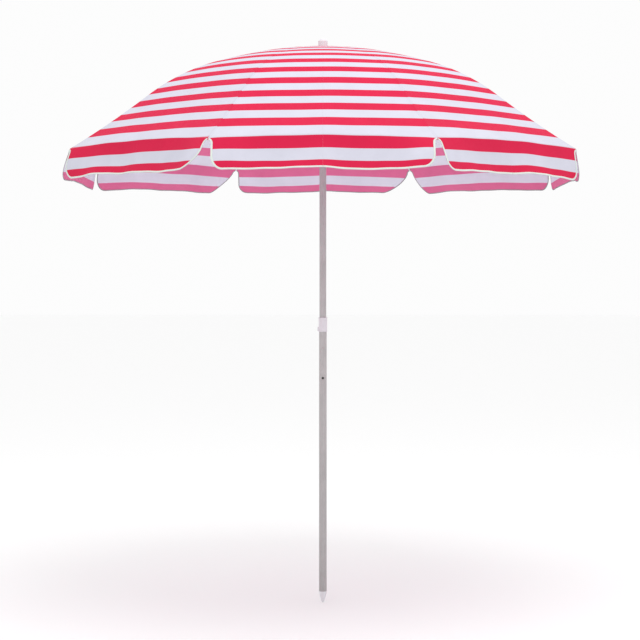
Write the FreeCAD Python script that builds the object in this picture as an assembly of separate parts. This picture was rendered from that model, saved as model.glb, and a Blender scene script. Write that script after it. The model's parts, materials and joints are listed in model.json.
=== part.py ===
import FreeCAD, Part
import math
import os

from FreeCAD import Vector

# Beach umbrella, open, standing on its ground spike. Millimetres, +Z up.
# The origin is the point of the spike, on the pole's axis. -Y is the front.

# ---- canopy and its ribs ----
RIB_COUNT = 8
GORE_ANGLE = 360.0 / RIB_COUNT
HALF_GORE = GORE_ANGLE / 2
FRONT_ANGLE = -90.0  # the middle of gore 1 faces the front

CROWN_Z = 2036.0  # top of the cloth beside the pole
SPAN_R = 950.0  # to the cloth at a rib's tip
PROFILE_R = (17.0, 400.0, 668.5, SPAN_R)  # ends of the three tangent arcs of the profile
PROFILE_SLOPE = (2.5, 16.0, 37.8, 32.0)  # the fall of the cloth at those ends, degrees
CLOTH_T = 1.0
CLOTH_INNER_R = 19.0
RIM_MID_R = 939.5  # profile radius where the middle of a gore's hem is cut
SEAM_GAP = 0.4  # between neighbouring cloth solids
GORE_SLOPE = 25.0  # the mean fall of the middle of a gore, degrees
VALANCE_H = 118.0
VALANCE_FLARE = 17.0  # degrees outwards from straight down
VALANCE_CORNER_R = 34.0
NOTCH_HALF_W = 9.0

RIB_D = 4.0
RIB_DEPTH = 4.5  # rib axis below the top of the cloth
RIB_START_R = 29.0
RIB_END_R = 946.0
TIP_R = 3.0
TIP_COVER = 12.0
TIP_NOSE = 5.0

BRACKET_R = 350.0  # profile radius of the stretcher's joint on the rib
BRACKET_L = 16.0
BRACKET_SLEEVE_R = 2.5
BRACKET_DROP = 6.5  # rivet below the rib's axis
LUG_T = 3.2
EYE_R = 3.5
EYE_T = 3.0
EYE_HOLE_R = 1.4
EYE_NECK_L = 9.0  # how far the eye's plate runs up the rib from the rib's start
SPACER_SHARES = (0.33, 0.6)  # where a stretcher's spacers sit, as shares of its length

# ---- rings that the ribs and stretchers hang on ----
RING_R = 20.0
RING_WIRE_R = 1.0
RING_SEAT = 0.02  # how far a ring is pressed into the floor of its groove
GROOVE_HALF_W = 1.2
HUB_R = 25.0
HUB_SLOT_W = 3.8
HUB_SLOT_INNER_R = 16.2
CROWN_PIVOT_Z = 2026.0
RUNNER_PIVOT_Z = 1700.0

# ---- stretchers ----
STRIP_T = 1.0
STRIP_H = 6.0
STRIP_INNER = 2.9  # half the space between a stretcher's two strips
STRIP_START = 26.0
BLOCK_L = 14.0
SPACER_R = 1.5
RIVET_HEAD_R = 2.6
RIVET_HEAD_T = 1.2

# ---- poles ----
LOWER_R = 14.0
LOWER_WALL = 1.15
LOWER_TOP_Z = 1030.0
UPPER_R = 12.5
UPPER_WALL = 1.0
UPPER_BOTTOM_Z = 885.0
UPPER_TOP_Z = 2036.5
RUNNING_GAP = 0.05

SPIKE_H = 40.5
SPIKE_PLUG_R = 12.7
SPIKE_PLUG_TOP = 85.0
SPIKE_HOLLOW_R = 9.0
SPIKE_HOLLOW_Z = 50.0

DEPTH_GROOVE_Z = 390.0  # marks how deep the pole goes into the ground or a base
DEPTH_GROOVE_W = 3.0
DEPTH_GROOVE_T = 0.35

BUTTON_Z = 931.0
HEIGHT_STEP = 107.0  # down to the second hole
HEIGHT_HOLE_R = 4.1
BUTTON_R = 3.7
BUTTON_HOLE_R = 4.05
BUTTON_FLANGE_R = 5.0
BUTTON_PROUD = 2.5  # beyond the lower pole
BUTTON_DOME = 1.5

SPRING_T = 0.6
SPRING_W = 8.0
SPRING_FRONT_Y = -8.4
SPRING_BACK_Y = 10.95
SPRING_TOP_Z = 940.0
SPRING_BEND_Z = 908.0

COLLAR_BOTTOM_Z = 994.0
COLLAR_TOP_Z = 1046.0
COLLAR_R = 15.8
COLLAR_LIP_R = 16.6
COLLAR_LIP_H = 2.5
COLLAR_BORE_R = 14.1
LUG_OUT = 19.8
LUG_Z = (997.0, 1011.0)
LUG_W = 10.0

# ---- finial ----
FINIAL_BASE_Z = 2037.0
FINIAL_FLANGE_R = 21.5
FINIAL_R = 17.25
FINIAL_TOP_Z = 2073.0
FINIAL_DOME = 12.0
FINIAL_PLUG_R = 11.4
FINIAL_PLUG_Z = 2012.0

# ---- crown hub and runner ----
CROWN_HUB_Z = (2018.0, 2033.5)
CROWN_BOSS_R = 16.0
RUNNER_FLANGE_Z = (1690.0, 1707.0)
RUNNER_BOTTOM_Z = 1630.0
RUNNER_GRIP_R = 17.0
RUNNER_LIP_R = 20.0
RUNNER_LIP_H = 5.0

CATCH_GAP = 0.4  # below the runner
CATCH_OUT = 17.5
CATCH_W = 4.8
CATCH_BOTTOM_Z = 1600.0
CATCH_PLATE_Y = (-10.4, -9.4)
CATCH_PLATE_W = 8.0
CATCH_PLATE_Z = (1592.0, 1637.0)
CATCH_SLOT_W = 5.6
CATCH_SLOT_Z = (1598.5, 1631.5)

Z = Vector(0, 0, 1)
ORIGIN = Vector(0, 0, 0)


# ---- helpers ----
def turned(shape, degrees):
    """A copy of the shape, turned about the pole's axis."""
    copy = shape.copy()
    copy.rotate(ORIGIN, Z, degrees)
    return copy


def cylinder(radius, z0, z1):
    return Part.makeCylinder(radius, z1 - z0, Vector(0, 0, z0))


def tube(outer_r, inner_r, z0, z1):
    return cylinder(outer_r, z0, z1).cut(cylinder(inner_r, z0 - 1, z1 + 1))


def rod_between(a, b, radius):
    return Part.makeCylinder(radius, (b - a).Length, a, b - a)


def box(x, y, z):
    """A box from three (low, high) pairs."""
    return Part.makeBox(x[1] - x[0], y[1] - y[0], z[1] - z[0], Vector(x[0], y[0], z[0]))


def lathe(points):
    """A solid of revolution from an outline of (radius, z) points."""
    corners = [Vector(r, 0, z) for r, z in points]
    face = Part.Face(Part.makePolygon(corners + corners[:1]))
    return face.revolve(ORIGIN, Z, 360)


def plate(edges, thickness):
    """A plate in the XZ plane, centred on it, from its outline's edges."""
    face = Part.Face(Part.Wire(edges))
    face.translate(Vector(0, -thickness / 2, 0))
    return face.extrude(Vector(0, thickness, 0))


def arc(a, middle, b):
    return Part.Arc(a, middle, b).toShape()


def line(a, b):
    return Part.LineSegment(a, b).toShape()


def cap_middle(radius, height):
    """(radius, drop below the top) halfway along the outline of a spherical cap."""
    sphere_r = (radius**2 + height**2) / (2 * height)
    half = math.asin(radius / sphere_r) / 2
    return sphere_r * math.sin(half), sphere_r * (1 - math.cos(half))


# ---- the canopy's profile: three tangent arcs in a plane through the axis ----
def profile_ends():
    """(radius, z, slope) at the ends of the arcs. An arc's chord slopes by the mean of its ends' slopes."""
    ends = [(PROFILE_R[0], CROWN_Z, PROFILE_SLOPE[0])]
    for radius, slope in zip(PROFILE_R[1:], PROFILE_SLOPE[1:]):
        last_r, last_z, last_slope = ends[-1]
        chord = math.radians((last_slope + slope) / 2)
        ends.append((radius, last_z - (radius - last_r) * math.tan(chord), slope))
    return ends


ENDS = profile_ends()


def profile(radius, depth=0.0):
    """The profile's point at this radius, moved inwards along its normal, and its slope there in radians."""
    index = 0
    while index < len(ENDS) - 2 and radius > ENDS[index + 1][0]:
        index += 1
    (r0, z0, slope0), (r1, _, slope1) = ENDS[index], ENDS[index + 1]
    a, b = math.radians(slope0), math.radians(slope1)
    turn = (math.sin(b) - math.sin(a)) / (r1 - r0)
    slope = math.asin(math.sin(a) + turn * (radius - r0))
    z = z0 - (math.cos(a) - math.cos(slope)) / turn
    normal = Vector(math.sin(slope), 0, math.cos(slope))
    return Vector(radius, 0, z) - normal * depth, slope


def profile_wire(start_r, end_r, depth):
    """The profile between two radii as a wire of tangent arcs."""
    stops = [start_r] + [r for r in PROFILE_R if start_r < r < end_r] + [end_r]
    edges = []
    for a, b in zip(stops, stops[1:]):
        points = [profile(r, depth)[0] for r in (a, (a + b) / 2, b)]
        edges.append(arc(*points))
    return Part.Wire(edges)


# ---- poles ----
def make_ground_spike():
    outline = [
        (0, 0),
        (2.5, 0.8),
        (6.0, 4.5),
        (8.5, 11.0),
        (LOWER_R, 36.0),
        (LOWER_R, SPIKE_H),
        (SPIKE_PLUG_R, SPIKE_H),
        (SPIKE_PLUG_R, SPIKE_PLUG_TOP),
        (SPIKE_HOLLOW_R, SPIKE_PLUG_TOP),
        (SPIKE_HOLLOW_R, SPIKE_HOLLOW_Z),
        (0, SPIKE_HOLLOW_Z),
    ]
    return lathe(outline)


def make_lower_pole():
    pole = tube(LOWER_R, LOWER_R - LOWER_WALL, SPIKE_H, LOWER_TOP_Z)
    for z in (BUTTON_Z, BUTTON_Z - HEIGHT_STEP):
        pole = pole.cut(rod_between(Vector(0, -2 * LOWER_R, z), Vector(0, 0, z), HEIGHT_HOLE_R))
    top = DEPTH_GROOVE_Z + DEPTH_GROOVE_W
    groove = tube(LOWER_R + 1, LOWER_R - DEPTH_GROOVE_T, DEPTH_GROOVE_Z, top)
    return pole.cut(groove)


def make_pole_collar():
    low, high = COLLAR_BOTTOM_Z, COLLAR_TOP_Z
    guide_r = UPPER_R + RUNNING_GAP
    sleeve = lathe(
        [
            (COLLAR_BORE_R, low),
            (COLLAR_LIP_R, low),
            (COLLAR_LIP_R, low + COLLAR_LIP_H),
            (COLLAR_R, low + COLLAR_LIP_H + 1),
            (COLLAR_R, high - COLLAR_LIP_H - 1),
            (COLLAR_LIP_R, high - COLLAR_LIP_H),
            (COLLAR_LIP_R, high - 1),
            (COLLAR_LIP_R - 1, high),
            (guide_r, high),
            (guide_r, LOWER_TOP_Z),
            (COLLAR_BORE_R, LOWER_TOP_Z),
        ]
    )
    half = LUG_W / 2
    lug = box((-LUG_OUT, -COLLAR_BORE_R), (-half, half), LUG_Z)
    lug = lug.makeFillet(1.5, [e for e in lug.Edges if e.BoundBox.XMax < 0.1 - LUG_OUT])
    return sleeve.fuse(lug.cut(cylinder(COLLAR_BORE_R, low, LOWER_TOP_Z))).removeSplitter()


def make_upper_pole():
    pole = tube(UPPER_R, UPPER_R - UPPER_WALL, UPPER_BOTTOM_Z, UPPER_TOP_Z)
    hole = rod_between(Vector(0, -2 * UPPER_R, BUTTON_Z), Vector(0, 0, BUTTON_Z), BUTTON_HOLE_R)
    half = CATCH_SLOT_W / 2
    slot = box((-half, half), (-2 * UPPER_R, 0), CATCH_SLOT_Z)
    return pole.cut(hole).cut(slot)


# ---- snap button and its spring, inside the upper pole ----
def make_snap_button():
    """A flanged dome on the Y axis, resting on the spring's front leg."""
    back = SPRING_FRONT_Y
    front = -(LOWER_R + BUTTON_PROUD)
    shoulder = front + BUTTON_DOME
    flange_front = back - 1.0
    points = [
        Vector(0, back, 0),
        Vector(BUTTON_FLANGE_R, back, 0),
        Vector(BUTTON_FLANGE_R, flange_front, 0),
        Vector(BUTTON_R, flange_front, 0),
        Vector(BUTTON_R, shoulder, 0),
    ]
    edges = [line(a, b) for a, b in zip(points, points[1:])]
    dome_r, dome_drop = cap_middle(BUTTON_R, BUTTON_DOME)
    dome = Vector(dome_r, front + dome_drop, 0)
    tip = Vector(0, front, 0)
    edges += [arc(points[-1], dome, tip), line(tip, points[0])]
    button = Part.Face(Part.Wire(edges)).revolve(ORIGIN, Vector(0, 1, 0), 360)
    button.translate(Vector(0, 0, BUTTON_Z))
    return button


def spring_outline(inset):
    """A U in the YZ plane, open at the top, drawn inset from the spring's outer face."""
    front, back = SPRING_FRONT_Y + inset, SPRING_BACK_Y - inset
    middle, bend_r = (front + back) / 2, (back - front) / 2
    top_front = Vector(0, front, SPRING_TOP_Z)
    low_front = Vector(0, front, SPRING_BEND_Z)
    bottom = Vector(0, middle, SPRING_BEND_Z - bend_r)
    low_back = Vector(0, back, SPRING_BEND_Z)
    top_back = Vector(0, back, SPRING_TOP_Z)
    edges = [line(top_front, low_front), arc(low_front, bottom, low_back), line(low_back, top_back)]
    return edges, top_front, top_back


def make_snap_spring():
    outer, outer_front, outer_back = spring_outline(0.0)
    inner, inner_front, inner_back = spring_outline(SPRING_T)
    edges = outer + [line(outer_back, inner_back)] + inner + [line(inner_front, outer_front)]
    face = Part.Face(Part.Wire(Part.sortEdges(edges)[0]))
    face.translate(Vector(-SPRING_W / 2, 0, 0))
    return face.extrude(Vector(SPRING_W, 0, 0))


# ---- top of the mast ----
def make_finial_cap():
    points = [
        Vector(0, 0, FINIAL_PLUG_Z),
        Vector(FINIAL_PLUG_R, 0, FINIAL_PLUG_Z),
        Vector(FINIAL_PLUG_R, 0, FINIAL_BASE_Z),
        Vector(FINIAL_FLANGE_R, 0, FINIAL_BASE_Z),
        Vector(FINIAL_FLANGE_R, 0, FINIAL_BASE_Z + 2.5),
        Vector(FINIAL_R, 0, FINIAL_BASE_Z + 5.5),
        Vector(FINIAL_R, 0, FINIAL_TOP_Z - FINIAL_DOME),
    ]
    edges = [line(a, b) for a, b in zip(points, points[1:])]
    shoulder_r, shoulder_drop = cap_middle(FINIAL_R, FINIAL_DOME)
    shoulder = Vector(shoulder_r, 0, FINIAL_TOP_Z - shoulder_drop)
    top = Vector(0, 0, FINIAL_TOP_Z)
    edges += [arc(points[-1], shoulder, top), line(top, points[0])]
    return Part.Face(Part.Wire(edges)).revolve(ORIGIN, Z, 360)


def slotted(hub, pivot_z, z0, z1):
    """Cuts a hub's ring groove, open at the top, and one radial slot for each rib."""
    floor = pivot_z - RING_WIRE_R + RING_SEAT
    groove = tube(RING_R + GROOVE_HALF_W, RING_R - GROOVE_HALF_W, floor, z1 + 1)
    hub = hub.cut(groove)
    half = HUB_SLOT_W / 2
    slot = box((HUB_SLOT_INNER_R, HUB_R + 5), (-half, half), (z0 - 1, z1 + 1))
    for index in range(RIB_COUNT):
        hub = hub.cut(turned(slot, rib_angle(index)))
    return hub


def make_crown_hub():
    z0, z1 = CROWN_HUB_Z
    hub = tube(HUB_R, UPPER_R + RUNNING_GAP, z0, z1)
    boss = tube(CROWN_BOSS_R, UPPER_R + RUNNING_GAP, z1 - 1, FINIAL_BASE_Z)
    return slotted(hub, CROWN_PIVOT_Z, z0, z1).fuse(boss).removeSplitter()


def make_ring(pivot_z):
    return Part.makeTorus(RING_R, RING_WIRE_R, Vector(0, 0, pivot_z))


def make_runner_hub():
    z0, z1 = RUNNER_FLANGE_Z
    bore_r = UPPER_R + RUNNING_GAP
    body = lathe(
        [
            (bore_r, RUNNER_BOTTOM_Z),
            (RUNNER_LIP_R, RUNNER_BOTTOM_Z),
            (RUNNER_LIP_R, RUNNER_BOTTOM_Z + RUNNER_LIP_H),
            (RUNNER_GRIP_R, RUNNER_BOTTOM_Z + RUNNER_LIP_H + 3),
            (RUNNER_GRIP_R, z0 - 4),
            (HUB_R - 3, z0),
            (HUB_R, z0),
            (HUB_R, z1),
            (bore_r, z1),
        ]
    )
    return slotted(body, RUNNER_PIVOT_Z, z0, z1)


def make_runner_catch():
    """A wedge on a plate. The runner slides up over its slope and then rests on its flat top."""
    top = RUNNER_BOTTOM_Z - CATCH_GAP
    back = CATCH_PLATE_Y[1]
    outline = [
        Vector(0, back, top),
        Vector(0, -CATCH_OUT, top),
        Vector(0, -CATCH_OUT, top - 3),
        Vector(0, -UPPER_R + 0.4, CATCH_BOTTOM_Z),
        Vector(0, back, CATCH_BOTTOM_Z),
    ]
    face = Part.Face(Part.makePolygon(outline + outline[:1]))
    face.translate(Vector(-CATCH_W / 2, 0, 0))
    wedge = face.extrude(Vector(CATCH_W, 0, 0))
    half = CATCH_PLATE_W / 2
    return wedge.fuse(box((-half, half), CATCH_PLATE_Y, CATCH_PLATE_Z)).removeSplitter()


# ---- ribs and stretchers, drawn in the XZ plane ----
def rib_angle(index):
    return FRONT_ANGLE - HALF_GORE + GORE_ANGLE * index


def gore_angle(index):
    return FRONT_ANGLE + GORE_ANGLE * index


def rib_direction(slope):
    """Outwards along a rib that falls by this slope."""
    return Vector(math.cos(slope), 0, -math.sin(slope))


def make_rib():
    path = profile_wire(RIB_START_R, RIB_END_R, RIB_DEPTH)
    start, slope = profile(RIB_START_R, RIB_DEPTH)
    section = Part.Wire(Part.makeCircle(RIB_D / 2, start, rib_direction(slope)))
    rod = path.makePipeShell([section], True, True)
    back_x = RING_R - EYE_R
    top_z = start.z + RIB_D / 2 - 0.4
    end_x = RIB_START_R + EYE_NECK_L
    outline = [
        Vector(back_x, 0, CROWN_PIVOT_Z),
        Vector(back_x, 0, top_z),
        Vector(end_x, 0, top_z - 0.5),
        Vector(end_x, 0, top_z - 3),
        Vector(RING_R + EYE_R, 0, CROWN_PIVOT_Z),
    ]
    edges = [line(a, b) for a, b in zip(outline, outline[1:])]
    edges.append(arc(outline[-1], Vector(RING_R, 0, CROWN_PIVOT_Z - EYE_R), outline[0]))
    eye = plate(edges, EYE_T)
    return rod.fuse(eye).cut(eye_hole(Vector(RING_R, 0, CROWN_PIVOT_Z))).removeSplitter()


def eye_hole(centre):
    side = Vector(0, 2 * EYE_T, 0)
    return rod_between(centre - side, centre + side, EYE_HOLE_R)


def make_rib_tip():
    end, slope = profile(RIB_END_R, RIB_DEPTH)
    out = rib_direction(slope)
    cover = rod_between(end - out * TIP_COVER, end + out * (TIP_NOSE - TIP_R), TIP_R)
    nose = Part.makeSphere(TIP_R, end + out * (TIP_NOSE - TIP_R))
    bore = rod_between(end - out * (TIP_COVER + 1), end, RIB_D / 2 + 0.1)
    return cover.fuse(nose).removeSplitter().cut(bore)


def bracket_pivot():
    return profile(BRACKET_R, RIB_DEPTH + BRACKET_DROP)[0]


def make_rib_bracket(rib):
    centre, slope = profile(BRACKET_R, RIB_DEPTH)
    out = rib_direction(slope)
    half = out * (BRACKET_L / 2)
    sleeve = rod_between(centre - half, centre + half, BRACKET_SLEEVE_R)
    pivot = bracket_pivot()
    side = out * EYE_R
    low = pivot + (pivot - centre).normalize() * EYE_R
    edges = [
        line(centre - side, centre + side),
        line(centre + side, pivot + side),
        arc(pivot + side, low, pivot - side),
        line(pivot - side, centre - side),
    ]
    return sleeve.fuse(plate(edges, LUG_T)).cut(rib).removeSplitter()


def strip(a, b, y0, y1):
    """A flat strip with round ends about the points a and b, from y0 to y1."""
    along = (b - a).normalize()
    across = Vector(-along.z, 0, along.x) * (STRIP_H / 2)
    edges = [
        line(a + across, b + across),
        arc(b + across, b + along * (STRIP_H / 2), b - across),
        line(b - across, a - across),
        arc(a - across, a - along * (STRIP_H / 2), a + across),
    ]
    face = Part.Face(Part.Wire(edges))
    face.translate(Vector(0, y0, 0))
    return face.extrude(Vector(0, y1 - y0, 0))


def make_stretcher():
    """Two strips that straddle the rib, joined by a block, two spacers and the eye on the runner's ring."""
    foot = Vector(RING_R, 0, RUNNER_PIVOT_Z)
    head = bracket_pivot()
    length = (head - foot).Length
    along = (head - foot).normalize()
    start = foot + along * STRIP_START
    outer = STRIP_INNER + STRIP_T
    body = strip(start, start + along * BLOCK_L, -outer, outer)
    eye = Part.makeCylinder(EYE_R, EYE_T, foot - Vector(0, EYE_T / 2, 0), Vector(0, 1, 0))
    body = body.fuse([eye, strip(foot + along, start, -EYE_T / 2, EYE_T / 2)])
    for y0, y1, rivet_y in ((-outer, -STRIP_INNER, -outer), (STRIP_INNER, outer, outer)):
        rivet_end = rivet_y + math.copysign(RIVET_HEAD_T, rivet_y)
        rivet = rod_between(
            head + Vector(0, rivet_y, 0), head + Vector(0, rivet_end, 0), RIVET_HEAD_R
        )
        body = body.fuse([strip(start, head, y0, y1), rivet])
    for share in SPACER_SHARES:
        centre = foot + along * (length * share)
        reach = Vector(0, STRIP_INNER + STRIP_T / 2, 0)
        body = body.fuse(rod_between(centre - reach, centre + reach, SPACER_R))
    return body.cut(eye_hole(foot)).removeSplitter()


# ---- cloth: the left half of a gore that faces +X, from its rib to its middle ----
def half_gore_edges():
    """The inner face's edge along the rib and its edge along the middle of the gore, as splines."""
    angle = math.radians(HALF_GORE)
    out = Vector(math.cos(angle), -math.sin(angle), 0)
    inward = Vector(math.sin(angle), math.cos(angle), 0)
    steps = 12
    rib_points, mid_points = [], []
    for step in range(steps + 1):
        share = step / steps
        rib_r = CLOTH_INNER_R + (PROFILE_R[-1] - CLOTH_INNER_R) * share
        point = profile(rib_r, CLOTH_T)[0]
        rib_points.append(out * point.x + inward * (SEAM_GAP / 2) + Z * point.z)
        mid_r = CLOTH_INNER_R + (RIM_MID_R - CLOTH_INNER_R) * share
        point = profile(mid_r, CLOTH_T)[0]
        mid_points.append(Vector(point.x * math.cos(angle), -SEAM_GAP / 2, point.z))
    edges = []
    for points in (rib_points, mid_points):
        curve = Part.BSplineCurve()
        curve.interpolate(points)
        edges.append(curve.toShape())
    return edges, rib_points[-1], mid_points[-1]


def make_half_gore():
    (rib_edge, mid_edge), rim_rib, rim_mid = half_gore_edges()
    tilt = math.radians(GORE_SLOPE)
    dome = Part.makeRuledSurface(rib_edge, mid_edge)
    dome = dome.extrude(Vector(math.sin(tilt), 0, math.cos(tilt)) * CLOTH_T)
    cloth = dome.fuse(make_half_valance(rim_rib, rim_mid))
    past_middle = box((0, 2 * SPAN_R), (-SEAM_GAP / 2, SPAN_R), (0, CROWN_Z + 1))
    return cloth.cut(past_middle).removeSplitter()


def make_half_valance(rim_rib, rim_mid):
    """The flat hanging border below half a gore, with its rounded corner at the rib's notch."""
    flare = math.radians(VALANCE_FLARE)
    across = (rim_mid - rim_rib).normalize()
    down = Vector(math.sin(flare), 0, -math.cos(flare))
    down = (down - across * down.dot(across)).normalize()
    outwards = across.cross(down)
    if outwards.x < 0:
        outwards = -outwards
    width = (rim_mid - rim_rib).Length

    def at(along, drop):
        return rim_rib + across * along + down * drop - outwards * (CLOTH_T / 2)

    left, corner = NOTCH_HALF_W, VALANCE_CORNER_R
    a, b = at(left, -0.5), at(width, -0.5)
    c, d = at(width, VALANCE_H), at(left + corner, VALANCE_H)
    e = at(left, VALANCE_H - corner)
    cut = corner * (1 - math.cos(math.radians(45)))  # in from the square corner to the middle of the arc
    middle = at(left + cut, VALANCE_H - cut)
    edges = [line(a, b), line(b, c), line(c, d), arc(d, middle, e), line(e, a)]
    return Part.Face(Part.Wire(edges)).extrude(outwards * CLOTH_T)


# ---- all the pieces ----
def build():
    rib = make_rib()
    stretcher = make_stretcher()
    left = make_half_gore()
    right = left.mirror(ORIGIN, Vector(0, 1, 0))
    pieces = {
        "ground_spike": make_ground_spike(),
        "lower_pole": make_lower_pole(),
        "pole_collar": make_pole_collar(),
        "upper_pole": make_upper_pole(),
        "snap_button": make_snap_button(),
        "snap_spring": make_snap_spring(),
        "finial_cap": make_finial_cap(),
        "crown_hub": make_crown_hub(),
        "crown_ring": make_ring(CROWN_PIVOT_Z),
        "runner_hub": make_runner_hub(),
        "runner_ring": make_ring(RUNNER_PIVOT_Z),
        "runner_catch": make_runner_catch(),
    }
    rib_pieces = {
        "rib": rib,
        "rib_tip": make_rib_tip(),
        "rib_bracket": make_rib_bracket(rib),
        "stretcher": stretcher,
    }
    for index in range(RIB_COUNT):
        for name, shape in rib_pieces.items():
            pieces[f"{name}_{index + 1}"] = turned(shape, rib_angle(index))
        pieces[f"canopy_{index + 1}_left"] = turned(left, gore_angle(index))
        pieces[f"canopy_{index + 1}_right"] = turned(right, gore_angle(index))
    return pieces


def export(pieces):
    os.makedirs("parts", exist_ok=True)
    for name, shape in pieces.items():
        solids = shape.Solids
        if len(solids) != 1 or not shape.isValid():
            raise RuntimeError(f"{name}: {len(solids)} solids, valid {shape.isValid()}")
        solids[0].exportStep(f"parts/{name}.step")


export(build())
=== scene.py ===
import json
import math

import bmesh
import bpy
import numpy as np
from mathutils import Matrix, Vector


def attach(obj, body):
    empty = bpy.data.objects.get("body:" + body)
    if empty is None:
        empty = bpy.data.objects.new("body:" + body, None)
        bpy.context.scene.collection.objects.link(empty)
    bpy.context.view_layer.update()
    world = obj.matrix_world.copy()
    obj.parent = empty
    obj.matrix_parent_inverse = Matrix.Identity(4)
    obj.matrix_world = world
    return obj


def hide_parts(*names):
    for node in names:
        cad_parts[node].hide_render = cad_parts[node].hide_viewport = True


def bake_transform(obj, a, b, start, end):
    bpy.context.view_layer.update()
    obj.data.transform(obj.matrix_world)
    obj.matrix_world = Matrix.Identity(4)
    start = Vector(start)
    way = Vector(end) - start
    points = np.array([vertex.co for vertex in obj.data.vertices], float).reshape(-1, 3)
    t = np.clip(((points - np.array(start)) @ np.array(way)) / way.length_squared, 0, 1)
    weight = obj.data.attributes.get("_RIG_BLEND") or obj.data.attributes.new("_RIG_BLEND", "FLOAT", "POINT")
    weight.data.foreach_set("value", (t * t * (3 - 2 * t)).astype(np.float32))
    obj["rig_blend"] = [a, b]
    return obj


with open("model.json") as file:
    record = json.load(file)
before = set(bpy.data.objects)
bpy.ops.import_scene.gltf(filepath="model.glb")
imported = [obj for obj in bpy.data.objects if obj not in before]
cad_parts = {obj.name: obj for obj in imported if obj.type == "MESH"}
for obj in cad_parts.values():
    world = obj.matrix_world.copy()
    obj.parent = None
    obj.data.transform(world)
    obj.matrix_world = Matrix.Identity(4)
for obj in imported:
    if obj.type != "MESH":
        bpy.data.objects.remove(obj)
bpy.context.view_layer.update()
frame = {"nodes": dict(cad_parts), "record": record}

# Metres, +Z up, origin at the spike's point, -Y the front.
RIB_COUNT = 8
GORE = math.tau / RIB_COUNT
HALF = GORE / 2
FRONT = -math.pi / 2

# ---- the canopy's profile, the same three tangent arcs as the CAD ----
SPAN_R = 0.950
CROWN_Z = 2.036
PROFILE_R = (0.017, 0.400, 0.6685, SPAN_R)
PROFILE_SLOPE = (2.5, 16.0, 37.8, 32.0)
INNER_R = 0.0175
HEM_CUT = 0.0105  # how much shorter the middle of a gore is than its ribs

BELLY = 0.0052  # how far the middle of a gore stands above the flat
VALANCE_H = 0.1145
FLARE_TOP = math.radians(8.0)  # outwards from straight down, just under the fold
FLARE_LOW = math.radians(26.0)  # and at the hem
NOTCH_W = 0.009
NOTCH_TOP = 0.0075
NOTCH_H = 0.016
# The left and the right end of each valance, gore by gore from the front one: the width and height of its
# lower corner, and how many degrees the cloth stands out there, under the fold and at the hem.
ENDS_OF_VALANCE = (
    ((0.036, 0.050, 30, 16), (0.036, 0.045, 50, 14)),
    ((0.034, 0.036, 26, 14), (0.034, 0.040, 10, 0)),
    ((0.040, 0.044, 12, 6), (0.030, 0.034, 8, 8)),
    ((0.046, 0.058, 12, 6), (0.066, 0.086, 28, 16)),
    ((0.100, 0.092, 34, 20), (0.034, 0.036, 46, 22)),
    ((0.105, 0.090, 34, 18), (0.040, 0.050, 12, 8)),
    ((0.036, 0.038, 8, 6), (0.100, 0.056, 22, 14)),
    ((0.045, 0.055, 32, 4), (0.077, 0.066, 36, 16)),
)
STANDS_OUT = (0, 0, 0, 0, 22, 6, 0, 0)  # degrees more under the fold in the middle of each gore
ROUND = 2.0  # exponent of a small corner's curve
SLANTED = 1.45  # exponent of a tall corner's curve, nearer to a straight slant
TALL = 0.060  # from this height on a corner counts as tall
MIDDLE_GAP = 0.0001  # how far each half of a gore stops short of its middle, at the rim
CLOTH_T = 0.0007
BINDING_OUT_W = 0.0054
BINDING_IN_W = 0.0024
BINDING_OVER = 0.0009  # how far the tape stands past the cloth's edge
BINDING_TURN = 0.0004  # where it starts to turn round the edge
BINDING_LIFT = 0.0006

COLUMNS = 30
DOME_ROWS = 84
FOLD_DROPS = (0.0012, 0.0035)  # rows between the fold and the notch
ARCH_ROWS = 6
SIDE_ROWS = 7
CORNER_ROWS = 9
HEM_POINTS = 34

# ---- the print: pairs of white and crimson bands, wider towards the rim ----
PAIR = 0.074
RIM_SPREAD = 0.060
RIM_FADE = 1.1
WHITE_SHARE = 0.51
VALANCE_DROPS = (0.0, 0.0425, 0.0840, 0.1265)
VALANCE_PHASES = (0.0, WHITE_SHARE - 1, -1.0, WHITE_SHARE - 2)

CRIMSON = (0.67, 0.015, 0.068, 1)
WHITE = (0.635, 0.632, 0.725, 1)
# The inside's own paler print, made brighter as painted light shining through the cloth.
INSIDE_PINK_LIT_THROUGH = (0.80, 0.185, 0.365, 1)
INSIDE_WHITE_LIT_THROUGH = (0.79, 0.81, 0.92, 1)
BINDING = (0.70, 0.77, 0.72, 1)
# The tape's inner side: the same tape painted darker, as painted shade.
BINDING_BACK_PAINTED_SHADE = (0.34, 0.34, 0.36, 1)
STITCHES = (0.60, 0.64, 0.61, 1)
POLE_GREY = (0.50, 0.475, 0.48, 1)
RIB_GREY = (0.42, 0.40, 0.42, 1)
PLASTIC = (0.76, 0.74, 0.78, 1)
SPRING_STEEL = (0.60, 0.59, 0.58, 1)


# ---- profile ----
def profile_ends():
    ends = [(PROFILE_R[0], CROWN_Z, math.radians(PROFILE_SLOPE[0]))]
    for radius, slope in zip(PROFILE_R[1:], PROFILE_SLOPE[1:]):
        last_r, last_z, last_slope = ends[-1]
        slope = math.radians(slope)
        drop = (radius - last_r) * math.tan((last_slope + slope) / 2)
        ends.append((radius, last_z - drop, slope))
    return ends


ENDS = profile_ends()


def profile(radius):
    """Height and slope of the cloth above a rib at these radii (arrays)."""
    radius = np.asarray(radius, float)
    z, slope = np.zeros_like(radius), np.zeros_like(radius)
    for index, ((r0, z0, a), (r1, _, b)) in enumerate(zip(ENDS, ENDS[1:])):
        turn = (math.sin(b) - math.sin(a)) / (r1 - r0)
        inside = radius >= r0 if index else np.ones_like(radius, bool)
        here = np.arcsin(np.clip(math.sin(a) + turn * (radius - r0), -1, 1))
        z = np.where(inside, z0 - (math.cos(a) - np.cos(here)) / turn, z)
        slope = np.where(inside, here, slope)
    return z, slope


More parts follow.
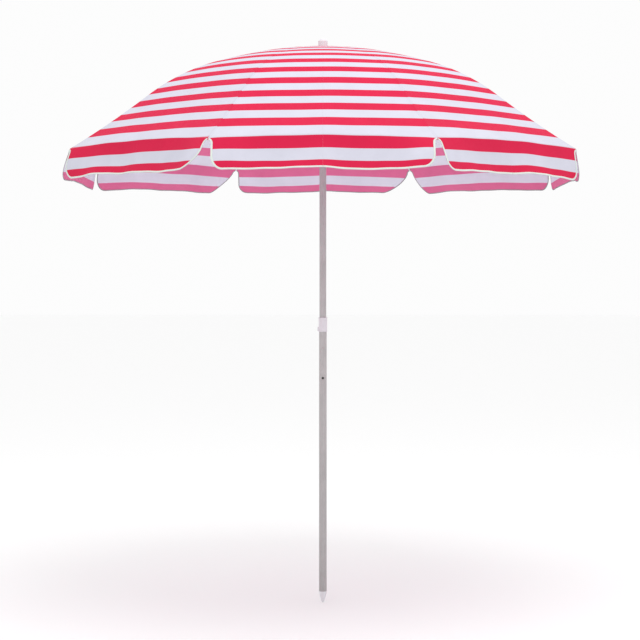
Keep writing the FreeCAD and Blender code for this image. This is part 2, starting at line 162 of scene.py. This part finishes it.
def length_table():
    """Radii and the distance down the middle of a gore from each to the fold at its rim."""
    radii = np.linspace(PROFILE_R[0], SPAN_R - HEM_CUT, 800)
    z, _ = profile(radii)
    steps = np.hypot(np.diff(radii) * math.cos(HALF), np.diff(z))
    run = np.concatenate([[0], np.cumsum(steps)])
    return radii, run[-1] - run


RADII, FROM_FOLD = length_table()


def print_phase(distance):
    """How many pairs of bands lie between the fold and this distance up the gore."""
    pairs = np.linspace(-0.5, 14, 600)
    spread = RIM_SPREAD * (1 - np.exp(-np.maximum(pairs, 0) / RIM_FADE))
    return np.interp(distance, PAIR * pairs + spread, pairs)


def hanging_phase(drop):
    """The same below the fold, where the three bands of the border have widths of their own."""
    return np.where(drop < 0, print_phase(-drop), np.interp(drop, VALANCE_DROPS, VALANCE_PHASES))


# ---- one gore, facing +X, across from -1 at its left rib to +1 at its right rib ----
class Gore:
    """The shape of one gore and its valance, with its own creases and waves."""

    def __init__(self, index):
        self.index = index
        rng = np.random.default_rng(400 + index)
        self.angle = FRONT + GORE * index
        self.phase = rng.uniform(0, math.tau, 8)
        self.size = rng.uniform(0.75, 1.25, 8)
        self.curl = rng.uniform(-1.0, 1.0, 2)
        self.lean = rng.uniform(-0.02, 0.02)
        self.print_shift = rng.uniform(-0.0025, 0.0025)

    def dome(self, across, down, lift=0.0):
        """Points of the dome: down runs from 0 at the crown to 1 at the rim."""
        across, down = np.broadcast_arrays(across, down)
        end = SPAN_R - HEM_CUT * (1 - across**2)
        radius = INNER_R + (end - INNER_R) * down
        z, slope = profile(radius)
        slope = np.arctan(np.tan(slope) / math.cos(HALF))
        lift = lift + self.creases(across, down)
        x = radius * math.cos(HALF) + lift * np.sin(slope)
        y = across * radius * math.sin(HALF)
        return np.stack([x, y, z + lift * np.cos(slope)], -1), radius

    def creases(self, across, down):
        """How the cloth billows and creases between the ribs, nothing where it is held by a rib."""
        free = 1 - np.abs(across) ** 3
        near_rib = np.exp(-(((1 - np.abs(across)) / 0.16) ** 2))
        belly = BELLY * (1 - across**2) * (1 - np.exp(-((down / 0.18) ** 2)))
        rim = 0.0006 * down**7 * np.sin(13 * across + self.phase[0])
        fan = 0.0007 * self.size[1] * down**2 * np.sin(7 * across + 4 * down + self.phase[1])
        pull = 0.0009 * near_rib * down * np.sin(46 * down + self.phase[2])
        return belly + (rim + fan) * free + pull * (1 - near_rib**8)

    def valance(self, across, drop, lift=0.0):
        """Points of the hanging border at this distance down from the fold."""
        across, drop = np.broadcast_arrays(across, drop)
        rim, _ = self.dome(across, np.ones_like(across))
        share = drop / VALANCE_H
        p, s = self.phase, self.size
        wave = 0.0032 * s[3] * share**1.3 * np.sin(3.6 * across + p[3])
        wave += 0.0030 * s[4] * share**1.4 * np.sin(9.5 * across + p[4])
        wave += 0.0012 * share**2 * np.sin(23 * across + p[5])
        top = FLARE_TOP + self.lean + 0.05 * np.sin(2.4 * across + p[7])
        low = FLARE_LOW + self.lean + 0.06 * np.sin(5.1 * across + p[6])
        top += math.radians(STANDS_OUT[self.index]) * (1 - across**2)
        for side, curl, (_, _, end_top, end_low) in zip((-1, 1), self.curl, ENDS_OF_VALANCE[self.index]):
            near = np.exp(-(((1 - side * across) / 0.13) ** 2))
            wave += 0.004 * curl * near * share**2
            wide = np.exp(-(((1 - side * across) / 0.34) ** 2))
            top += (math.radians(end_top) - top) * wide
            low += (math.radians(end_low) - low) * wide
        bend = np.where(np.abs(low - top) < 1e-4, 1e-4, low - top)
        angle = top + bend * share
        out = VALANCE_H * (np.cos(top) - np.cos(angle)) / bend + (wave + lift) * np.cos(angle)
        fall = VALANCE_H * (np.sin(angle) - np.sin(top)) / bend - (wave + lift) * np.sin(angle)
        point = rim.copy()
        point[..., 0] += out
        point[..., 2] -= fall
        return point

    def place(self, points):
        c, s = math.cos(self.angle), math.sin(self.angle)
        turn = np.array([[c, -s, 0], [s, c, 0], [0, 0, 1]])
        return points @ turn.T


RIM_W = SPAN_R * math.sin(HALF)  # half the width of a gore at its rim


def notch_edge(drop, corner):
    """Distance of the valance's side from the rib: an arch at the top, a round or slanted corner below."""
    drop = np.asarray(drop, float)
    width, height = corner[:2]
    power = SLANTED if height > TALL else ROUND
    under = np.clip((drop - NOTCH_TOP) / NOTCH_H, 0, 1)
    low = np.clip((drop - (VALANCE_H - height)) / height, 0, 1)
    return NOTCH_W * np.sqrt(1 - (1 - under) ** 2) + width * (1 - (1 - low**power) ** (1 / power))


def valance_drops(corner):
    """Rows down the valance from the top of the notch, closer together round the arch and the corner."""
    height = corner[1]
    bottom = VALANCE_H - height
    arch = NOTCH_TOP + NOTCH_H * (1 - np.cos(np.linspace(0, math.pi / 2, ARCH_ROWS)))
    sides = np.linspace(arch[-1], max(bottom, arch[-1] + 0.002), SIDE_ROWS)[1:]
    turn = np.linspace(0, math.pi / 2, CORNER_ROWS + 1)[1:]
    return np.concatenate([arch, sides, sides[-1] + (VALANCE_H - sides[-1]) * np.sin(turn)])


# ---- mesh building ----
def new_object(name, points, faces, materials, indices=None):
    mesh = bpy.data.meshes.new(name)
    mesh.from_pydata([tuple(map(float, p)) for p in points], [], faces)
    for material in materials:
        mesh.materials.append(material)
    if indices is not None:
        mesh.polygons.foreach_set("material_index", indices)
    mesh.polygons.foreach_set("use_smooth", [True] * len(faces))
    mesh.update()
    obj = bpy.data.objects.new(name, mesh)
    bpy.context.scene.collection.objects.link(obj)
    return obj


def store(obj, name, values, kind="FLOAT"):
    attribute = obj.data.attributes.new(name, kind, "POINT")
    key = "vector" if kind == "FLOAT_VECTOR" else "value"
    attribute.data.foreach_set(key, np.asarray(values, np.float32).ravel())


def sheet_faces(rows, columns, flip):
    """Faces of a two-sided sheet: two grids, and a strip round the edge but not along the gore's middle.

    The strip has points of its own, so that it doesn't soften the shading of the grids. Also returns which
    faces are inside, and the grid point that each point of the mesh is a copy of.
    """

    def at(side, row, column):
        return (side * rows + row) * columns + column

    faces, sides = [], []
    for row in range(rows - 1):
        for column in range(columns - 1):
            ring = ((row, column), (row + 1, column), (row + 1, column + 1), (row, column + 1))
            quad = [at(0, *corner) for corner in ring]
            back = [i + rows * columns for i in quad]
            faces += [quad if not flip else quad[::-1], back[::-1] if not flip else back]
            sides += [0, 1]
    edge = [(rows - 1, c) for c in range(columns - 1, -1, -1)]
    edge += [(r, 0) for r in range(rows - 2, -1, -1)] + [(0, c) for c in range(1, columns)]
    source = list(range(2 * rows * columns)) + [at(side, r, c) for side in (0, 1) for r, c in edge]
    start = 2 * rows * columns
    for i in range(len(edge) - 1):
        a, b = start + i, start + len(edge) + i
        quad = [a, b, b + 1, a + 1]
        faces.append(quad if flip else quad[::-1])
        sides.append(0)
    return faces, sides, source


def blend_by_angle(obj, gore, rib_body, cloth_body, local):
    """The cloth follows its rib beside the rib and the folding body at the middle of the gore."""
    middle = Vector((math.cos(gore.angle), math.sin(gore.angle), 0))
    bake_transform(obj, rib_body, cloth_body, start=(0, 0, CROWN_Z), end=Vector((0, 0, CROWN_Z)) + middle)
    turned = np.abs(np.arctan2(local[:, 1], local[:, 0])) / HALF
    share = np.clip(1 - turned, 0, 1).astype(np.float32)
    obj.data.attributes["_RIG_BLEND"].data.foreach_set("value", share)


def half_gore(gore, side, outer, inner, binding):
    """One half of a gore with its half of the valance, from rib to middle. side is -1 left, +1 right."""
    word = "left" if side < 0 else "right"
    node = f"canopy_{gore.index + 1}_{word}"
    rib = gore.index + 1 if side < 0 else (gore.index + 1) % RIB_COUNT + 1
    share = np.linspace(0, 1, COLUMNS) ** 1.2 * (1 - MIDDLE_GAP / RIM_W)
    rows = np.linspace(0, 1, DOME_ROWS)
    across = side * (1 - share)[None, :] * np.ones((DOME_ROWS, 1))
    down = rows[:, None] * np.ones((1, COLUMNS))
    corner = ENDS_OF_VALANCE[gore.index][0 if side < 0 else 1]
    drops = np.concatenate([FOLD_DROPS, valance_drops(corner)])
    edge = notch_edge(drops, corner)[:, None]
    x = edge + (RIM_W - edge) * share[None, :]
    hang_across = side * (1 - x / RIM_W)
    hang_drop = drops[:, None] * np.ones((1, COLUMNS))
    layers = []
    for lift in (0.0, -CLOTH_T):
        dome, radius = gore.dome(across, down, lift)
        hang = gore.valance(hang_across, hang_drop, lift)
        layers.append(np.concatenate([dome, hang]).reshape(-1, 3))
    local = np.concatenate(layers)
    total_rows = DOME_ROWS + len(drops)
    faces, sides, source = sheet_faces(total_rows, COLUMNS, flip=side > 0)
    local = local[source]
    obj = new_object(f"cloth_{gore.index + 1}_{word}", gore.place(local), faces, [outer, inner], sides)
    from_fold = np.interp(radius, RADII, FROM_FOLD)
    drift = 0.0016 * np.sin(5.3 * hang_across + gore.phase[2]) * hang_drop / VALANCE_H
    down_print = hang_drop + drift - gore.print_shift
    phase = np.concatenate([print_phase(from_fold + gore.print_shift), hanging_phase(down_print)])
    to_rib = np.concatenate([(1 - np.abs(across)) * radius * math.sin(HALF), x])
    run = np.concatenate([from_fold, -hang_drop])
    sideways = np.concatenate([across * radius * math.sin(HALF), hang_across * RIM_W])
    flat = np.stack([sideways, run, 0 * run], -1)
    store(obj, "stripe", np.tile(phase.ravel(), 2)[source])
    store(obj, "to_rib", np.tile(to_rib.ravel(), 2)[source])
    store(obj, "flat", np.tile(flat.reshape(-1, 3), (2, 1))[source], "FLOAT_VECTOR")
    blend_by_angle(obj, gore, f"rib_{rib}", node, local)
    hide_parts(node)
    hem = binding_strip(gore, side, corner, node, rib, binding)
    return obj


def binding_path(corner):
    """(across distance, drop) along the valance's free edge, from the notch's top to the hem's middle."""
    drops = valance_drops(corner)
    edge = notch_edge(drops, corner)
    along = np.linspace(edge[-1], RIM_W - MIDDLE_GAP, HEM_POINTS)[1:]
    hem = np.stack([along, np.full(len(along), VALANCE_H)], -1)
    return np.concatenate([np.stack([edge, drops], -1), hem])


def binding_strip(gore, side, corner, node, rib, material):
    """A folded tape over the valance's edge, wide outside and narrow inside."""
    path = binding_path(corner)
    step = np.gradient(path, axis=0)
    step /= np.linalg.norm(step, axis=1)[:, None]
    inward = np.stack([step[:, 1], -step[:, 0]], -1)
    lift, back = BINDING_LIFT, -CLOTH_T - BINDING_LIFT
    section = [
        (BINDING_OUT_W, 0.3 * lift),
        (BINDING_OUT_W * 0.9, lift),
        (BINDING_TURN, lift),
        (-BINDING_OVER, 0.3 * lift),
        (-BINDING_OVER, back * 0.7),
        (BINDING_TURN, back),
        (BINDING_IN_W * 0.8, back),
        (BINDING_IN_W, back + 0.7 * lift),
    ]
    outside = len(section) // 2
    points, tape, flat = [], [], []
    run = np.concatenate([[0], np.cumsum(np.linalg.norm(np.diff(path, axis=0), axis=1))])
    for k, (inset, rise) in enumerate(section):
        spot = path + inward * inset
        spot[:, 1] = np.maximum(spot[:, 1], 0.0008)
        across = side * (1 - np.clip(spot[:, 0], 0.0, RIM_W) / RIM_W)
        points.append(gore.valance(across, spot[:, 1], rise))
        # tape is -1 on the inner side, which the material paints grey as painted shade.
        tape.append(np.full(len(path), inset / BINDING_OUT_W if k < outside else -1.0))
        flat.append(np.stack([run, np.full(len(path), inset), 0 * run], -1))
    count, ring = len(path), len(section)
    local = np.concatenate(points)
    faces = []
    for k in range(ring):
        for i in range(count - 1):
            a, b = k * count + i, (k + 1) % ring * count + i
            quad = [a, b, b + 1, a + 1]
            faces.append(quad if side < 0 else quad[::-1])
    for i in (0, count - 1):
        cap = [k * count + i for k in range(ring)]
        faces.append(cap if (i == 0) == (side > 0) else cap[::-1])
    word = "left" if side < 0 else "right"
    hem = new_object(f"binding_{gore.index + 1}_{word}", gore.place(local), faces, [material])
    store(hem, "tape", np.concatenate(tape))
    store(hem, "flat", np.concatenate(flat), "FLOAT_VECTOR")
    blend_by_angle(hem, gore, f"rib_{rib}", node, local)
    return hem


# ---- materials ----
class Nodes:
    """A material's node tree, with short calls for the nodes used here."""

    def __init__(self, name):
        self.material = bpy.data.materials.new(name)
        self.material.use_nodes = True
        self.tree = self.material.node_tree
        self.shader = self.tree.nodes["Principled BSDF"]

    def node(self, kind, **values):
        node = self.tree.nodes.new(kind)
        for key, value in values.items():
            setattr(node, key, value)
        return node

    def link(self, source, target):
        self.tree.links.new(source, target)

    def attribute(self, name, output="Fac"):
        return self.node("ShaderNodeAttribute", attribute_name=name).outputs[output]

    def math(self, operation, a, b=None):
        node = self.node("ShaderNodeMath", operation=operation)
        for socket, value in zip(node.inputs, (a, b)):
            if value is None:
                continue
            if isinstance(value, (int, float)):
                socket.default_value = value
            else:
                self.link(value, socket)
        return node.outputs[0]

    def ramp(self, value, low, high, to_low=0.0, to_high=1.0):
        node = self.node("ShaderNodeMapRange")
        self.link(value, node.inputs["Value"])
        for key, number in (("From Min", low), ("From Max", high), ("To Min", to_low), ("To Max", to_high)):
            node.inputs[key].default_value = number
        return node.outputs[0]

    def mix(self, factor, a, b, mode="MIX"):
        node = self.node("ShaderNodeMix", data_type="RGBA", blend_type=mode)
        if isinstance(factor, (int, float)):
            node.inputs[0].default_value = factor
        else:
            self.link(factor, node.inputs[0])
        for socket, value in ((node.inputs[6], a), (node.inputs[7], b)):
            if isinstance(value, tuple):
                socket.default_value = value
            else:
                self.link(value, socket)
        return node.outputs[2]

    def coordinates(self, output="Object", scale=(1, 1, 1)):
        mapping = self.node("ShaderNodeMapping")
        mapping.inputs["Scale"].default_value = scale
        self.link(self.node("ShaderNodeTexCoord").outputs[output], mapping.inputs["Vector"])
        return mapping.outputs[0]

    def noise(self, vector, scale, detail=3.0, roughness=0.5):
        node = self.node("ShaderNodeTexNoise")
        node.inputs["Scale"].default_value = scale
        node.inputs["Detail"].default_value = detail
        node.inputs["Roughness"].default_value = roughness
        self.link(vector, node.inputs["Vector"])
        return node.outputs["Fac"]

    def bump(self, height, strength, distance):
        node = self.node("ShaderNodeBump")
        node.inputs["Strength"].default_value = strength
        node.inputs["Distance"].default_value = distance
        self.link(height, node.inputs["Height"])
        self.link(node.outputs["Normal"], self.shader.inputs["Normal"])

    def set(self, **values):
        for key, value in values.items():
            self.shader.inputs[key.replace("_", " ")].default_value = value
        return self.material


def weave(n, pitch):
    """Height of a plain weave: threads over and under, from the cloth's flat coordinates."""
    flat = n.node("ShaderNodeSeparateXYZ")
    n.link(n.attribute("flat", "Vector"), flat.inputs[0])
    waves = [n.math("SINE", n.math("MULTIPLY", flat.outputs[i], math.tau / pitch)) for i in (0, 1)]
    return n.math("MULTIPLY", waves[0], waves[1])


def cloth_material(name, red, white, roughness):
    n = Nodes(name)
    stripe = n.attribute("stripe")
    flat = n.attribute("flat", "Vector")
    red_middle = (1 + WHITE_SHARE) / 2
    turned = n.math("FRACT", n.math("SUBTRACT", stripe, red_middle - 0.5))
    distance = n.math("ABSOLUTE", n.math("SUBTRACT", turned, 0.5))
    half_red = (1 - WHITE_SHARE) / 2
    edge = 0.008
    is_red = n.ramp(distance, half_red + edge, half_red - edge)
    colour = n.mix(is_red, white, red)
    cloudy = n.ramp(n.noise(flat, 9.0, 5.0, 0.6), 0.3, 0.7, 0.93, 1.0)
    threads = n.ramp(n.noise(flat, 900.0, 2.0, 0.7), 0.25, 0.75, 0.95, 1.0)
    shade = n.math("MULTIPLY", cloudy, threads)
    seam = n.attribute("to_rib")
    # Painted shade: a thin darker line 5.5 mm from the rib for the seam's groove, and darker cloth right at
    # the rib.
    seam_groove_painted_shade = n.ramp(n.math("ABSOLUTE", n.math("SUBTRACT", seam, 0.0055)), 0.0003, 0.0011, 0.90, 1.0)
    rib_crease_painted_shade = n.ramp(seam, 0.0, 0.0018, 0.90, 1.0)
    shade = n.math("MULTIPLY", shade, n.math("MULTIPLY", seam_groove_painted_shade, rib_crease_painted_shade))
    grey = n.node("ShaderNodeCombineColor")
    for socket in grey.inputs:
        n.link(shade, socket)
    colour = n.mix(1.0, colour, grey.outputs[0], "MULTIPLY")
    n.link(colour, n.shader.inputs["Base Color"])
    height = n.math("MULTIPLY", weave(n, 0.0011), 0.00005)
    slack = n.math("MULTIPLY", n.noise(flat, 24.0, 4.0, 0.55), 0.0016)
    fold = n.math("MULTIPLY", n.ramp(seam, 0.0, 0.0105), -0.0004)
    n.bump(n.math("ADD", n.math("ADD", height, slack), fold), 0.35, 1.0)
    uneven = n.ramp(n.noise(flat, 60.0), 0.3, 0.7, roughness - 0.05, roughness + 0.06)
    n.link(uneven, n.shader.inputs["Roughness"])
    return n.set(Sheen_Weight=0.02, Sheen_Roughness=0.5, Specular_IOR_Level=0.12)


def binding_material():
    n = Nodes("binding_tape")
    flat = n.node("ShaderNodeSeparateXYZ")
    n.link(n.attribute("flat", "Vector"), flat.inputs[0])
    across = n.attribute("tape")
    dash = n.math("SINE", n.math("MULTIPLY", flat.outputs[0], math.tau / 0.0042))
    on_line = n.ramp(n.math("ABSOLUTE", n.math("SUBTRACT", across, 0.72)), 0.04, 0.09, 1.0, 0.0)
    stitch = n.math("MULTIPLY", on_line, n.ramp(dash, -0.4, 0.0))
    ribbing = n.math("SINE", n.math("MULTIPLY", flat.outputs[0], math.tau / 0.0016))
    front = n.mix(stitch, BINDING, STITCHES)
    # Painted shade: the tape's inner side (tape below about -0.5) gets the darker grey.
    colour = n.mix(n.ramp(across, -0.75, -0.35), BINDING_BACK_PAINTED_SHADE, front)
    dirt = n.ramp(n.noise(n.attribute("flat", "Vector"), 30.0), 0.3, 0.75, 0.9, 1.0)
    grey = n.node("ShaderNodeCombineColor")
    for socket in grey.inputs:
        n.link(dirt, socket)
    n.link(n.mix(1.0, colour, grey.outputs[0], "MULTIPLY"), n.shader.inputs["Base Color"])
    height = n.math("ADD", n.math("MULTIPLY", stitch, -0.0003), n.math("MULTIPLY", ribbing, 0.00006))
    n.bump(height, 0.5, 1.0)
    n.link(n.ramp(dirt, 0.9, 1.0, 0.82, 0.74), n.shader.inputs["Roughness"])
    return n.set(Sheen_Weight=0.1, Specular_IOR_Level=0.25)


def metal_material(name, colour, metallic, roughness, grain=(1, 1, 0.02), foot_dirt=False):
    """Coated or bare steel with drawn grain and faint marks, and sand scuffs near the lower pole's foot."""
    n = Nodes(name)
    drawn = n.noise(n.coordinates(scale=grain), 220.0, 4.0, 0.6)
    patches = n.noise(n.coordinates(), 14.0, 5.0, 0.65)
    tone = n.math("MULTIPLY", n.ramp(drawn, 0.3, 0.7, 0.93, 1.03), n.ramp(patches, 0.35, 0.65, 0.90, 1.04))
    if foot_dirt:
        place = n.node("ShaderNodeSeparateXYZ")
        n.link(n.node("ShaderNodeTexCoord").outputs["Object"], place.inputs[0])
        low = n.ramp(place.outputs[2], 0.02, 0.9, 0.84, 1.0)
        tone = n.math("MULTIPLY", tone, low)
    grey = n.node("ShaderNodeCombineColor")
    for socket in grey.inputs:
        n.link(tone, socket)
    n.link(n.mix(1.0, colour, grey.outputs[0], "MULTIPLY"), n.shader.inputs["Base Color"])
    rough = n.ramp(n.math("ADD", drawn, patches), 0.7, 1.3, roughness - 0.06, roughness + 0.10)
    n.link(rough, n.shader.inputs["Roughness"])
    n.bump(drawn, 0.15, 0.0002)
    return n.set(Metallic=metallic)


def plastic_material(name, colour):
    """Moulded plastic: fine grain, a slightly uneven gloss and a faint mottle."""
    n = Nodes(name)
    mottle = n.noise(n.coordinates(), 45.0, 4.0, 0.6)
    grain = n.noise(n.coordinates(), 1400.0, 2.0, 0.6)
    grey = n.node("ShaderNodeCombineColor")
    tone = n.ramp(mottle, 0.3, 0.7, 0.94, 1.0)
    for socket in grey.inputs:
        n.link(tone, socket)
    n.link(n.mix(1.0, colour, grey.outputs[0], "MULTIPLY"), n.shader.inputs["Base Color"])
    n.link(n.ramp(mottle, 0.3, 0.7, 0.34, 0.48), n.shader.inputs["Roughness"])
    n.bump(grain, 0.2, 0.0002)
    return n.set(Specular_IOR_Level=0.4)


def make_materials():
    return {
        "white_plastic": plastic_material("white_plastic", PLASTIC),
        "pole_steel": metal_material("pole_steel", POLE_GREY, 0.35, 0.42, foot_dirt=True),
        "rib_steel": metal_material("rib_steel", RIB_GREY, 0.35, 0.42, grain=(1, 1, 1)),
        "spring_steel": metal_material("spring_steel", SPRING_STEEL, 0.9, 0.32, grain=(1, 1, 1)),
        "cloth_outer": cloth_material("cloth_outer", CRIMSON, WHITE, 0.72),
        # Its colours hold painted light: the brightness of light shining through the cloth.
        "cloth_inner": cloth_material("cloth_inner", INSIDE_PINK_LIT_THROUGH, INSIDE_WHITE_LIT_THROUGH, 0.80),
        "binding": binding_material(),
        "thread": plastic_material("thread", (0.75, 0.74, 0.76, 1)),
    }


def dress_cad(materials):
    """Gives every CAD node that shows the material of its slot."""
    for part in frame["record"]["subparts"]:
        if part["material_slot"] == "canopy_cloth":
            continue
        mesh = frame["nodes"][part["node"]].data
        mesh.materials.clear()
        mesh.materials.append(materials[part["material_slot"]])


# ---- thread ties that hold the cloth to each rib ----
TIE_RADII = (0.470, 0.640, 0.800)
TIE_R = 0.0031
TIE_WIRE = 0.00045
RIB_DEPTH = 0.0045


def thread_ties(rib, material):
    """Three small loops of thread round a rib, two turns each."""
    angle = FRONT - HALF + GORE * rib
    points, faces = [], []
    around, section = 28, 6
    for radius in TIE_RADII:
        z, slope = (float(v) for v in profile(radius))
        normal = Vector((math.sin(slope), 0, math.cos(slope)))
        along = Vector((math.cos(slope), 0, -math.sin(slope)))
        side = Vector((0, 1, 0))
        centre = Vector((radius, 0, z)) - normal * (RIB_DEPTH - 0.0006)
        start = len(points)
        turns = 2
        total = around * turns
        for i in range(total + 1):
            t = math.tau * i / around
            shift = (i / total - 0.5) * 0.0022
            out = normal * math.cos(t) + side * math.sin(t)
            for k in range(section):
                a = math.tau * k / section
                ring = out * (TIE_R + TIE_WIRE * math.cos(a)) + along * (shift + TIE_WIRE * math.sin(a))
                points.append(Matrix.Rotation(angle, 3, "Z") @ (centre + ring))
        for i in range(total):
            for k in range(section):
                a, b = start + i * section + k, start + i * section + (k + 1) % section
                faces.append([a, a + section, b + section, b])
        faces.append([start + k for k in range(section)])
        faces.append([start + total * section + k for k in range(section)][::-1])
    ties = new_object(f"rib_ties_{rib + 1}", points, faces, [material])
    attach(ties, f"rib_{rib + 1}")
    return ties


# ---- the snap button's spring ----
SPRING_BEND_Z = 0.908
SPRING_MIDDLE_Y = 0.0013  # between the front and the back leg
BUTTON_LOW_Z = 0.926  # from here up the leg moves rigidly with the button
SPRING_CUTS = (0.9125, 0.917, 0.9215, BUTTON_LOW_Z)


def flexing_spring(material):
    """The CAD's U spring, cut into rows so that its front leg gives way with the button."""
    node = frame["nodes"]["snap_spring"]
    mesh = node.data.copy()
    mesh.transform(node.matrix_world)
    edit = bmesh.new()
    edit.from_mesh(mesh)
    for z in SPRING_CUTS:
        everything = edit.verts[:] + edit.edges[:] + edit.faces[:]
        bmesh.ops.bisect_plane(edit, geom=everything, plane_co=(0, 0, z), plane_no=(0, 0, 1))
    edit.to_mesh(mesh)
    edit.free()
    mesh.materials.clear()
    mesh.materials.append(material)
    spring = bpy.data.objects.new("snap_spring_legs", mesh)
    bpy.context.scene.collection.objects.link(spring)
    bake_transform(spring, "mast", "snap_button", start=(0, 0, SPRING_BEND_Z), end=(0, 0, BUTTON_LOW_Z))
    points = np.array([vertex.co for vertex in mesh.vertices])
    raised = np.clip((points[:, 2] - SPRING_BEND_Z) / (BUTTON_LOW_Z - SPRING_BEND_Z), 0, 1)
    share = np.where(points[:, 1] < SPRING_MIDDLE_Y, raised, 0).astype(np.float32)
    mesh.attributes["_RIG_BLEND"].data.foreach_set("value", share)
    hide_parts("snap_spring")


# ---- stage ----
CAMERA_DISTANCE = 6.377
CAMERA_HEIGHT = 1.2227
LENS = 97.55
SHIFT = (-0.0045, -0.079)


def make_camera():
    data = bpy.data.cameras.new("camera")
    data.lens = LENS
    data.sensor_width = 36.0
    data.shift_x, data.shift_y = SHIFT
    camera = bpy.data.objects.new("camera", data)
    camera.location = (0, -CAMERA_DISTANCE, CAMERA_HEIGHT)
    camera.rotation_euler = (math.pi / 2, 0, 0)
    bpy.context.scene.collection.objects.link(camera)
    bpy.context.scene.camera = camera


def area_light(name, place, size, power, look_at=(0, 0, 1.4)):
    data = bpy.data.lights.new(name, "AREA")
    data.shape = "DISK"
    data.size = size
    data.energy = power
    light = bpy.data.objects.new(name, data)
    light.location = place
    aim = Vector(look_at) - Vector(place)
    light.rotation_euler = aim.to_track_quat("-Z", "Y").to_euler()
    bpy.context.scene.collection.objects.link(light)


def make_stage():
    n = Nodes("floor")
    n.set(Base_Color=(0.98, 0.98, 0.98, 1), Roughness=0.9, Specular_IOR_Level=0.1)
    size = 40.0
    corners = [(-size, -size, 0), (size, -size, 0), (size, size, 0), (-size, size, 0)]
    floor = new_object("floor", corners, [[0, 1, 2, 3]], [n.material])
    world = bpy.data.worlds.new("world")
    world.use_nodes = True
    world.node_tree.nodes["Background"].inputs["Color"].default_value = (1.0, 1.0, 1.0, 1)
    world.node_tree.nodes["Background"].inputs["Strength"].default_value = 0.98
    bpy.context.scene.world = world
    bpy.context.scene.view_settings.view_transform = "Standard"
    area_light("overhead", (0.5, -1.5, 5.0), 3.0, 60)


# ---- everything ----
materials = make_materials()
make_camera()
make_stage()
dress_cad(materials)
for gore_index in range(RIB_COUNT):
    gore = Gore(gore_index)
    for side in (-1, 1):
        half_gore(gore, side, materials["cloth_outer"], materials["cloth_inner"], materials["binding"])
for rib_index in range(RIB_COUNT):
    thread_ties(rib_index, materials["thread"])
flexing_spring(materials["spring_steel"])
